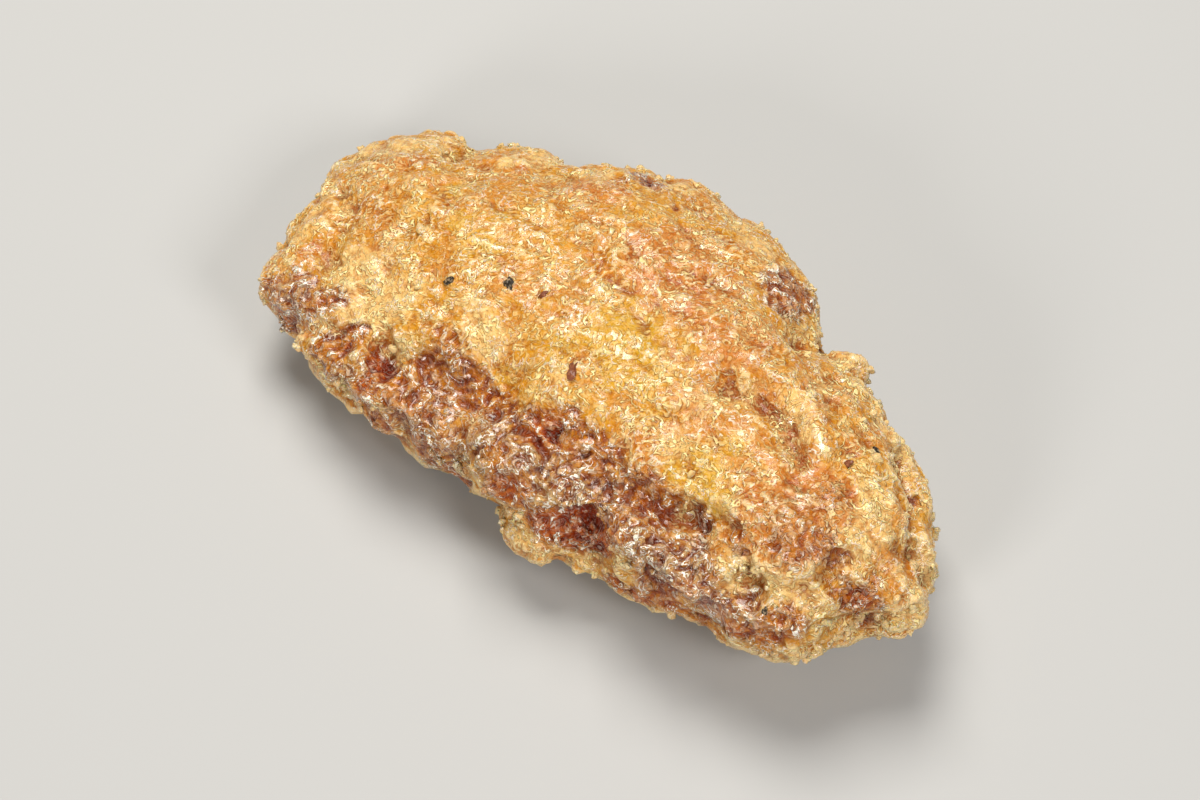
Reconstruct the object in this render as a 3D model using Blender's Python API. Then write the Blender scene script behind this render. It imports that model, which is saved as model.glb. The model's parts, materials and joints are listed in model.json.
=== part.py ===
"""A fried chicken wing: the flat middle joint, skin on, under a thin craggy flour crust.

The wing lies on its underside as on a board. Its long axis is X, with the wrist end at -X and the
thicker elbow end, where two knuckles part, at +X. The near long side faces -Y. Z is up, and the
origin is the middle of the footprint, on the board.
"""

import math
import random

import bmesh
import bpy
import numpy as np
from mathutils import Matrix, Vector, noise

MM = 0.001

LENGTH = 87 * MM

# Where the width is taken, from end to end, and how far the wing then reaches towards its near
# side and its far side, all in millimetres.
WIDTH_AT = (-43, -39, -35, -30, -24, -18, -12, -6, 0, 6, 12, 18, 24, 30, 35, 39, 43)
NEAR_REACH = (8.9, 12.8, 12.9, 13.7, 15.2, 15.2, 15.0, 15.4, 17.5, 17.2, 16.2, 16.5, 15.1, 15.2, 13.2, 9.9, 6.6)
FAR_REACH = (20.0, 21.5, 21.8, 21.2, 23.3, 22.6, 26.6, 28.8, 27.7, 26.8, 22.1, 18.9, 15.6, 13.4, 11.3, 6.8, 2.6)

# Where the height is taken, and how high the crown and the underside are there.
HEIGHT_AT = (-44, -34, -19, 0, 19, 34, 44)
CROWN = (12.6, 15.5, 18.5, 20.5, 21.0, 20.0, 15.5)
UNDERSIDE = (3.1, 1.3, 0.4, 0.0, 0.4, 1.3, 2.7)

BELLY_SHARE = 0.42
END_SQUARENESS = 8
TOP_SQUARENESS = 2.25
UNDER_SQUARENESS = 3.0

# Bulges of meat and bone under the skin: place on the skin, how wide and how high, in millimetres.
BULGES = {
    "wrist_top": ((-33.5, 9.0, 14.5), 8.0, 1.3),
    "wrist_knob": ((-36.0, -9.0, 11.0), 4.2, 2.3),
    "wrist_knob_upper": ((-37.0, -1.5, 12.5), 3.6, 1.0),
    "crust_ball": ((-29.0, -13.0, 10.0), 2.8, 1.5),
    "burnt_knob": ((11.5, 21.0, 16.0), 4.8, 1.6),
    "knuckle_top": ((28.5, -6.0, 19.5), 6.5, 1.7),
    "near_knuckle": ((33.5, -13.5, 11.5), 6.5, 2.1),
    "far_knuckle": ((42.0, -3.5, 12.0), 5.5, 2.3),
    "far_shoulder": ((24.5, 12.0, 17.5), 4.0, 1.4),
    "elbow_corner": ((20.5, 17.0, 13.0), 2.6, 1.1),
    "flank_lump_wrist": ((-19.5, -14.5, 11.5), 3.4, 2.0),
    "flank_lump_left": ((-11.5, -15.5, 13.0), 3.2, 2.1),
    "flank_lump_middle": ((-3.5, -15.5, 14.0), 3.8, 2.2),
    "flank_lump_right": ((14.5, -15.5, 14.5), 3.4, 2.2),
    "flank_lump_elbow": ((22.0, -15.0, 14.5), 3.2, 1.9),
    "flank_low_left": ((-13.0, -17.0, 5.0), 3.0, 1.2),
    "flank_low_right": ((24.0, -17.0, 6.0), 3.4, 1.2),
    "crown_left": ((-22.0, 3.0, 18.0), 8.0, 0.8),
    "crown_right": ((13.0, 9.0, 20.0), 8.0, 0.7),
    "dome": ((-4.0, 7.0, 20.0), 16.0, 1.2),
    "pale_fringe": ((4.5, -18.5, 6.0), 4.0, 2.5),
    "pale_fringe_left": ((1.0, -18.5, 5.5), 3.0, 1.2),
    "under_fringe": ((16.0, -17.5, 3.5), 4.5, 1.3),
}

# Pits where the crust bubbled or broke open: place, radius and depth.
PITS = {
    "bubble_left": ((-27.5, -11.5, 12.5), 1.5, 1.8),
    "bubble_right": ((-20.0, -13.0, 13.5), 2.1, 2.6),
    "flank_gap_left": ((-8.0, -16.5, 11.0), 1.7, 1.5),
    "flank_gap_middle": ((2.5, -15.5, 14.5), 1.6, 1.3),
    "flank_gap_right": ((18.5, -16.0, 12.5), 1.7, 1.3),
    "crown_dip": ((-6.0, -5.5, 19.0), 4.5, 0.7),
    "dark_hollow": ((10.0, -16.5, 13.0), 3.4, 2.0),
    "dark_hollow_left": ((5.0, -17.0, 12.0), 2.6, 1.2),
    "end_recess": ((40.0, -8.5, 11.0), 3.6, 2.6),
    "end_recess_low": ((40.5, -8.5, 5.0), 3.6, 2.0),
    "wrist_dent": ((-41.5, 5.0, 9.0), 4.0, 0.5),
}

# Folds of skin: the route over the skin, how wide, and how deep, or how high where it is below zero.
FOLDS = {
    "bone_valley": (
        ((-22, -10.5, 15), (-9, -12, 16.5), (1, -12, 17.5), (9.5, -12.5, 17.5), (17, -12, 18)),
        3.6,
        1.9,
    ),
    "bone_valley_end": (((17, -12, 18), (22, -12.5, 17.5), (28, -13.5, 16)), 2.6, 1.0),
    "bone_ridge": (
        ((-18, -14.5, 12.5), (-9, -15.5, 13.5), (0, -15.5, 14.5), (10, -15, 15.5), (22, -15.5, 15)),
        2.8,
        -0.8,
    ),
    "skin_fold": (((15, 3, 21), (19, 4, 21), (22.5, 3, 21), (25, 0, 21), (26, -3, 20.5)), 1.6, 1.4),
    "skin_lip": (((17, 6, 21), (21, 6, 21), (25.5, 3.5, 21), (28, 0, 20.5)), 1.8, -0.9),
    "wrist_notch": (((-31, 20, 7), (-29.5, 16, 14.5), (-26, 10, 17)), 2.6, 1.6),
    "elbow_notch": (((18, 18.2, 5), (17.7, 17.4, 13), (17.2, 13.5, 18)), 2.2, 3.0),
    "far_groove": (((33, 9, 16.5), (35.5, 6.5, 16.5), (38, 3.5, 16), (40.5, 0, 14.5)), 1.7, 2.2),
    "far_groove_low": (((40.5, 0, 14.5), (42, -1.5, 10), (42, -2, 5)), 1.8, 1.6),
    "knuckle_ring": (((27, -12, 17.5), (31, -12.5, 16.5), (35, -10, 16.5), (36.5, -5.5, 17)), 1.6, 1.5),
    "ripple_long": (((11, -9, 19.5), (18, -10, 19.5), (24, -8.5, 19.5)), 1.4, -1.0),
    "ripple_short": (((24, -12.5, 17), (29, -14, 15.5), (33, -13.5, 15)), 1.4, -1.0),
    "wrist_crease": (((-32.5, -13, 9), (-31.5, -9.5, 13.5), (-33.5, -5.5, 14.5)), 1.5, 1.3),
    "wrist_crease_upper": (((-33.5, -5.5, 14.5), (-34.5, 1, 14.5), (-38, 4, 13)), 1.4, 0.7),
    "near_gully": (((-13, -17.5, 8), (-4, -18, 9), (2, -17.5, 10.5)), 1.8, 0.9),
}

# How the folds wander, how far apart and by how much, and how uneven their depth is.
FOLD_WANDER = (8.0, 2.2)
FOLD_UNEVENNESS = 1.0
UNEVEN_SPACING = 5.0

# The crust's own unevenness: how far apart its lumps are and how high they stand, coarse to fine.
SWELLS = (11.0, 1.0)
CRAGS = (4.8, 2.1)
GRAIN = (3.0, 1.1)
SMOOTHEST_TOP = 0.36

# Rings along the body, points on each ring, how close the underside's points are to the rest, and the
# height in millimetres below which a point counts as the underside.
RINGS_ALONG = 77
POINTS_ROUND = 60
UNDERSIDE_DENSITY = 0.45
SHOWN_FROM = 4.5

# Crumbs of crust that stand out most: place near the skin and radius, in millimetres.
CRUMBS = (
    ((-28.5, -13.5, 10.0), 2.1),
    ((-24.0, -12.0, 14.0), 1.5),
    ((-18.5, -12.0, 15.5), 1.3),
    ((-21.5, -10.5, 15.5), 1.1),
    ((-6.5, 25.5, 15.0), 1.7),
    ((-25.5, 19.0, 14.5), 1.4),
    ((-15.0, 22.5, 15.5), 1.2),
    ((-10.5, 24.5, 14.5), 1.5),
    ((20.3, 17.6, 14.5), 2.9),
    ((23.0, 15.5, 15.5), 2.3),
    ((24.5, 13.0, 16.5), 1.8),
    ((26.5, 10.5, 17.5), 1.4),
    ((36.5, 5.0, 16.0), 1.7),
    ((41.5, -0.5, 14.0), 1.6),
    ((42.5, -6.5, 8.5), 1.9),
    ((9.5, -12.5, 18.0), 1.0),
    ((26.0, -4.5, 20.5), 0.9),
    ((35.5, -15.5, 9.0), 1.9),
    ((5.0, -19.5, 7.5), 2.0),
    ((9.5, -19.0, 6.5), 1.6),
    ((-18.5, -17.0, 6.5), 1.8),
    ((-24.0, -16.0, 6.0), 1.6),
)
CRUMB_COUNT = 11
FLAKE_COUNT = 7
CRUMB_RADIUS = (1.0, 1.9)
FLAKE_LENGTH = (1.8, 2.8)
CRUMB_SUNK = 0.35
PEPPER_RADIUS = 0.62
SEED = 14

# Flecks of cracked pepper on the crown, as seen from above, in millimetres.
PEPPER_AT = ((-19, -1), (-13, 1), (-9, 2.5), (-0.5, -4), (29.5, 3), (31, 5.5), (31, -14))

# Nothing above this height is cut, so the spots that the wing rests on stay small.
REST_CUT = 0.8

GOLDEN_CRUST = (0.60, 0.33, 0.12, 1.0)


def clear_scene():
    for obj in list(bpy.data.objects):
        bpy.data.objects.remove(obj)


def smooth_through(places, values, x):
    """A smooth curve through the values given at the places, read at each x."""
    places = np.asarray(places, float)
    values = np.asarray(values, float)
    slopes = np.gradient(values, places)
    x = np.clip(x, places[0], places[-1])
    k = np.clip(np.searchsorted(places, x) - 1, 0, len(places) - 2)
    gap = places[k + 1] - places[k]
    t = (x - places[k]) / gap
    from_start = (1 + 2 * t) * (1 - t) ** 2 * values[k] + t * (1 - t) ** 2 * gap * slopes[k]
    from_end = t * t * (3 - 2 * t) * values[k + 1] - t * t * (1 - t) * gap * slopes[k + 1]
    return from_start + from_end


def rounded(wave, squareness):
    """A sine or cosine whose circle is drawn out towards a square."""
    return math.copysign(abs(wave) ** (2 / squareness), wave)


def body_point(x_mm, angle):
    """The point of the smooth body at one station along it and one angle round it, in millimetres."""
    half = LENGTH / MM / 2
    closing = math.sqrt(max(0.0, 1 - abs(x_mm / half) ** END_SQUARENESS))
    near = -float(smooth_through(WIDTH_AT, NEAR_REACH, x_mm))
    far = float(smooth_through(WIDTH_AT, FAR_REACH, x_mm))
    crown = float(smooth_through(HEIGHT_AT, CROWN, x_mm))
    under = float(smooth_through(HEIGHT_AT, UNDERSIDE, x_mm))
    belly = under + BELLY_SHARE * (crown - under)
    across, up = math.cos(angle), math.sin(angle)
    squareness = TOP_SQUARENESS if up >= 0 else UNDER_SQUARENESS
    reach = crown - belly if up >= 0 else belly - under
    y = (near + far) / 2 + (far - near) / 2 * closing * rounded(across, squareness)
    z = belly + reach * closing * rounded(up, squareness)
    return Vector((x_mm, y, z))


def angles_round():
    """Angles round the body whose points are evenly apart along the skin, but wider underneath."""
    fine = np.linspace(-math.pi, math.pi, 1441)
    section = [body_point(0.0, angle) for angle in fine]
    steps = []
    for start, end in zip(section, section[1:]):
        density = 1.0 if start.z > SHOWN_FROM else UNDERSIDE_DENSITY
        steps.append(density * (end - start).length)
    way = np.concatenate(([0.0], np.cumsum(steps)))
    return np.interp(way[-1] * np.arange(POINTS_ROUND) / POINTS_ROUND, way, fine)


def make_body():
    """Rings of points from end to end, closest at the ends, joined by faces and closed by a point."""
    bm = bmesh.new()
    half = LENGTH / MM / 2
    angles = angles_round()
    rings = []
    for k in range(1, RINGS_ALONG):
        x_mm = -half * math.cos(math.pi * k / RINGS_ALONG)
        rings.append([bm.verts.new(body_point(x_mm, angle)) for angle in angles])
    for near, far in zip(rings, rings[1:]):
        for j in range(POINTS_ROUND):
            bm.faces.new((near[j - 1], near[j], far[j], far[j - 1]))
    for x_mm, ring in ((-half, rings[0]), (half, rings[-1])):
        tip = bm.verts.new(body_point(x_mm, 0.0))
        for j in range(POINTS_ROUND):
            bm.faces.new((ring[j - 1], ring[j], tip))
    bmesh.ops.recalc_face_normals(bm, faces=bm.faces)
    bm.normal_update()
    return bm


def nearness(distance, width):
    """One at no distance, falling away smoothly over the width."""
    return math.exp(-((distance / width) ** 2))


def distance_to_route(point, route):
    """How far a point is from the nearest straight stretch of a route."""
    nearest = math.inf
    for start, end in zip(route, route[1:]):
        start, end = Vector(start), Vector(end)
        run = end - start
        share = max(0.0, min(1.0, (point - start).dot(run) / run.length_squared))
        nearest = min(nearest, (point - start - share * run).length)
    return nearest


def wander(point):
    """A point moved about smoothly, so that nothing laid out by it runs straight."""
    spacing, reach = FOLD_WANDER
    shifts = [noise.noise(point / spacing + Vector((13.1 * axis, 5.7, 2.3))) for axis in range(3)]
    return point + reach * Vector(shifts)


def form_height(point):
    """How far the bulges, pits and folds move the skin out at a point, in millimetres."""
    height = 0.0
    for place, radius, rise in BULGES.values():
        height += rise * nearness((point - Vector(place)).length, radius)
    for place, radius, depth in PITS.values():
        height -= depth * nearness((point - Vector(place)).length, radius)
    moved = wander(point)
    uneven = 1 + FOLD_UNEVENNESS * noise.noise(point / UNEVEN_SPACING)
    for route, width, depth in FOLDS.values():
        height -= uneven * depth * nearness(distance_to_route(moved, route), width)
    return height


def crust_height(point, up):
    """How far the crust's own crags stand out at a point. The top is the smoothest."""
    spacing, rise = SWELLS
    height = rise * noise.noise(point / spacing)
    smooth_top = max(0.0, min(1.0, (up - 0.55) / 0.4))
    share = 1 - (1 - SMOOTHEST_TOP) * smooth_top
    for layer, (spacing, rise) in enumerate((CRAGS, GRAIN)):
        shifted = point / spacing + Vector((7.3 * layer, 1.9, 4.7))
        crag = 0.5 - abs(noise.noise(shifted) + 0.35 * noise.noise(2.1 * shifted))
        height += share * rise * (crag - 0.25)
    return height


def raise_crust(bm):
    """Moves every point of the body along its normal by the folds and the crags."""
    moves = []
    for vert in bm.verts:
        height = form_height(vert.co) + crust_height(vert.co, vert.normal.z)
        moves.append(vert.normal * height)
    for vert, move in zip(bm.verts, moves):
        vert.co += move
    bmesh.ops.triangulate(bm, faces=bm.faces, quad_method="SHORT_EDGE")
    bm.normal_update()


def object_from(bm, name, collection):
    mesh = bpy.data.meshes.new(name)
    bm.to_mesh(mesh)
    bm.free()
    obj = bpy.data.objects.new(name, mesh)
    collection.objects.link(obj)
    return obj


def apply_modifiers(obj):
    """Keeps the mesh that the modifiers make, and drops the modifiers."""
    graph = bpy.context.evaluated_depsgraph_get()
    graph.update()
    made = bpy.data.meshes.new_from_object(obj.evaluated_get(graph))
    obj.modifiers.clear()
    obj.data = made


def rough_ball(name, collection, place, along, outward, sizes, fineness):
    """A ball of crust with uneven sides, longest along one way, and sizes along, across and out."""
    bm = bmesh.new()
    bmesh.ops.create_icosphere(bm, subdivisions=fineness, radius=1)
    for vert in bm.verts:
        uneven = 1 + 0.45 * noise.noise(1.3 * vert.co + place)
        vert.co = Vector((vert.co.x * sizes[0], vert.co.y * sizes[1], vert.co.z * sizes[2])) * uneven
    side = outward.cross(along).normalized()
    ahead = side.cross(outward).normalized()
    turn = Matrix((ahead, side, outward.normalized())).transposed().to_4x4()
    bmesh.ops.transform(bm, matrix=Matrix.Translation(place) @ turn, verts=bm.verts)
    bmesh.ops.scale(bm, vec=(MM, MM, MM), verts=bm.verts)
    return object_from(bm, name, collection)


def skin_faces(body):
    """Centre and outward way of each face of the body, in millimetres."""
    return [(face.center / MM, face.normal.copy()) for face in body.data.polygons]


def crust_chance(centre, normal):
    """How likely a crumb is at a place: the rim, the elbow end and the underside have most."""
    if centre.z < 2.2:
        return 0.0
    rim = 1 - abs(normal.z)
    elbow = max(0.0, min(1.0, (centre.x - 15) / 15))
    return 0.75 * rim**2 * (1 + 0.3 * elbow)


def scatter_places(faces, count, draw, apart):
    """Places on the skin picked by chance, no two closer than the distance given."""
    picked = []
    while len(picked) < count:
        centre, normal = faces[draw.randrange(len(faces))]
        if draw.random() > crust_chance(centre, normal):
            continue
        if any((centre - other).length < apart for other, _ in picked):
            continue
        picked.append((centre, normal))
    return picked


def nearest_skin(faces, place):
    return min(faces, key=lambda face: (face[0] - place).length)


def add_crumbs(faces, collection, draw):
    """The crumbs that are placed one by one, then the ones strewn by chance."""
    spots = [(*nearest_skin(faces, Vector(place)), radius) for place, radius in CRUMBS]
    for centre, normal in scatter_places(faces, CRUMB_COUNT, draw, 6.0):
        spots.append((centre, normal, draw.uniform(*CRUMB_RADIUS)))
    for number, (centre, normal, radius) in enumerate(spots):
        along = Vector((draw.uniform(-1, 1), draw.uniform(-1, 1), draw.uniform(-1, 1)))
        sizes = (radius * draw.uniform(1.0, 1.4), radius, radius * draw.uniform(0.7, 0.9))
        place = centre - normal * radius * CRUMB_SUNK
        rough_ball(f"crumb_{number}", collection, place, along, normal, sizes, 1)


def add_flakes(faces, collection, draw):
    """Thin scales of crust that stand off the sides."""
    for number, (centre, normal) in enumerate(scatter_places(faces, FLAKE_COUNT, draw, 5.0)):
        length = draw.uniform(*FLAKE_LENGTH)
        tilt = (normal + 0.6 * Vector((0, 0, draw.uniform(-1, 1)))).normalized()
        across = tilt.cross(Vector((draw.uniform(-1, 1), draw.uniform(-1, 1), 1))).normalized()
        sizes = (length * 0.75, length * 0.24, length * 0.55)
        rough_ball(f"flake_{number}", collection, centre, across, tilt, sizes, 1)


def add_pepper(faces, collection):
    """Each fleck stands half out of the crown, over the place that it is seen at from above."""
    tops = [(centre, normal) for centre, normal in faces if normal.z > 0.2]
    for number, (x, y) in enumerate(PEPPER_AT):
        centre, normal = min(tops, key=lambda face: math.hypot(face[0].x - x, face[0].y - y))
        radius = PEPPER_RADIUS * (1 - 0.06 * number)
        sizes = (radius * 1.25, radius, radius * 0.8)
        along = Vector((math.cos(number), math.sin(number), 0.2))
        rough_ball(f"pepper_{number}", collection, centre, along, normal, sizes, 1)


def fuse(body, pieces):
    """One Boolean union joins the collection's pieces to the body, and the pieces are removed."""
    union = body.modifiers.new("fuse", "BOOLEAN")
    union.operation = "UNION"
    union.operand_type = "COLLECTION"
    union.collection = pieces
    union.solver = "EXACT"
    apply_modifiers(body)
    for obj in list(pieces.objects):
        bpy.data.objects.remove(obj)
    bpy.data.collections.remove(pieces)


def drop_scraps(bm):
    """Keeps the largest connected body, because a flake may stand clear of the crust."""
    left = set(bm.verts)
    bodies = []
    while left:
        front = [left.pop()]
        body = list(front)
        while front:
            vert = front.pop()
            for edge in vert.link_edges:
                other = edge.other_vert(vert)
                if other in left:
                    left.discard(other)
                    front.append(other)
                    body.append(other)
        bodies.append(body)
    bodies.sort(key=len)
    for scrap in bodies[:-1]:
        bmesh.ops.delete(bm, geom=scrap, context="VERTS")


def sit_down(obj):
    """Slices the lowest crags off flat, so that the wing rests as it lies, and sets it on Z = 0."""
    bm = bmesh.new()
    bm.from_mesh(obj.data)
    drop_scraps(bm)
    lowest = min(vert.co.z for vert in bm.verts)
    cut = lowest + REST_CUT * MM
    everything = bm.verts[:] + bm.edges[:] + bm.faces[:]
    made = bmesh.ops.bisect_plane(
        bm, geom=everything, plane_co=(0, 0, cut), plane_no=(0, 0, 1), clear_inner=True
    )
    rims = [item for item in made["geom_cut"] if isinstance(item, bmesh.types.BMEdge)]
    bmesh.ops.contextual_create(bm, geom=rims)
    bmesh.ops.triangulate(bm, faces=[face for face in bm.faces if len(face.verts) > 3])
    drop_scraps(bm)
    xs = [vert.co.x for vert in bm.verts]
    ys = [vert.co.y for vert in bm.verts]
    middle = Vector(((min(xs) + max(xs)) / 2, (min(ys) + max(ys)) / 2, cut))
    bmesh.ops.translate(bm, vec=-middle, verts=bm.verts)
    bmesh.ops.recalc_face_normals(bm, faces=bm.faces)
    bm.to_mesh(obj.data)
    bm.free()


def crust_material():
    material = bpy.data.materials.new("golden_crust")
    material.use_nodes = True
    shader = material.node_tree.nodes["Principled BSDF"]
    shader.inputs["Base Color"].default_value = GOLDEN_CRUST
    shader.inputs["Roughness"].default_value = 0.35
    shader.inputs["Metallic"].default_value = 0.0
    return material


def build_wing():
    scene = bpy.context.scene.collection
    bm = make_body()
    raise_crust(bm)
    bmesh.ops.scale(bm, vec=(MM, MM, MM), verts=bm.verts)
    wing = object_from(bm, "chicken_wing", scene)
    pieces = bpy.data.collections.new("crust_pieces")
    scene.children.link(pieces)
    draw = random.Random(SEED)
    faces = skin_faces(wing)
    add_crumbs(faces, pieces, draw)
    add_flakes(faces, pieces, draw)
    add_pepper(faces, pieces)
    fuse(wing, pieces)
    sit_down(wing)
    wing.data.materials.append(crust_material())
    return wing


clear_scene()
build_wing()
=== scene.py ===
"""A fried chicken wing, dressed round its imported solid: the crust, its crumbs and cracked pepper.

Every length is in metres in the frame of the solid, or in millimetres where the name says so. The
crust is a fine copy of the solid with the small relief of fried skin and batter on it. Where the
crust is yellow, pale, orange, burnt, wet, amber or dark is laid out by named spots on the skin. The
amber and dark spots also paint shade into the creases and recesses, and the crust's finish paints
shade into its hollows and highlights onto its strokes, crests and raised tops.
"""

import json
import math
import random

import bpy
import numpy as np
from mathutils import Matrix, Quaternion, Vector, noise
from mathutils.bvhtree import BVHTree

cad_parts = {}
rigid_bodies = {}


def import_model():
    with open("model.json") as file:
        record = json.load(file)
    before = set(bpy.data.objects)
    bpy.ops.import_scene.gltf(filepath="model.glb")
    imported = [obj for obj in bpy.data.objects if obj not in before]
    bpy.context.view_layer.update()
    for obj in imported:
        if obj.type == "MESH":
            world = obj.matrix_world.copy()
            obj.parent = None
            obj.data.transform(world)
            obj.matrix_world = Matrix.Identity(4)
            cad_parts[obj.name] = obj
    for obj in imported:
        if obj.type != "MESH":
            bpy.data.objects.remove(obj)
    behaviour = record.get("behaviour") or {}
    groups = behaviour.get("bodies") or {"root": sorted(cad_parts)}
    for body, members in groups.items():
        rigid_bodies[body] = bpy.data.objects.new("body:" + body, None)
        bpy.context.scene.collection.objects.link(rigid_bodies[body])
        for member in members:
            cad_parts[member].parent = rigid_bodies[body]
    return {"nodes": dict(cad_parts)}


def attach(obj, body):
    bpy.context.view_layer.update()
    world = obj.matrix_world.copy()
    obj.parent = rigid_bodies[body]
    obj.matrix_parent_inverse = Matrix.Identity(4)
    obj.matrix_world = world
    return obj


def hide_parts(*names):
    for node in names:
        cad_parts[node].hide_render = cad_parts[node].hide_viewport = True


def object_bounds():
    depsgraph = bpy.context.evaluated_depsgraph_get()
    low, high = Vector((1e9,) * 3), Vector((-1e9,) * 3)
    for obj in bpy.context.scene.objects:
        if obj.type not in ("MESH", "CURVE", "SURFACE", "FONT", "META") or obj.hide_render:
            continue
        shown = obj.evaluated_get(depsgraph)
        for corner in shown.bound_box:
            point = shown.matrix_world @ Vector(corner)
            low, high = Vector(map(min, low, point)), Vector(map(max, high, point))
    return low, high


bl_info = {
    "name": "Fried Chicken Wing",
    "version": (1, 0, 0),
    "blender": (4, 5, 0),
    "location": "View3D > Sidebar > Wing",
    "description": "Builds the crust, crumbs and pepper of a fried chicken wing on its solid",
    "category": "Object",
}

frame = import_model()
CAD_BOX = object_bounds()
MM = 0.001

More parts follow.
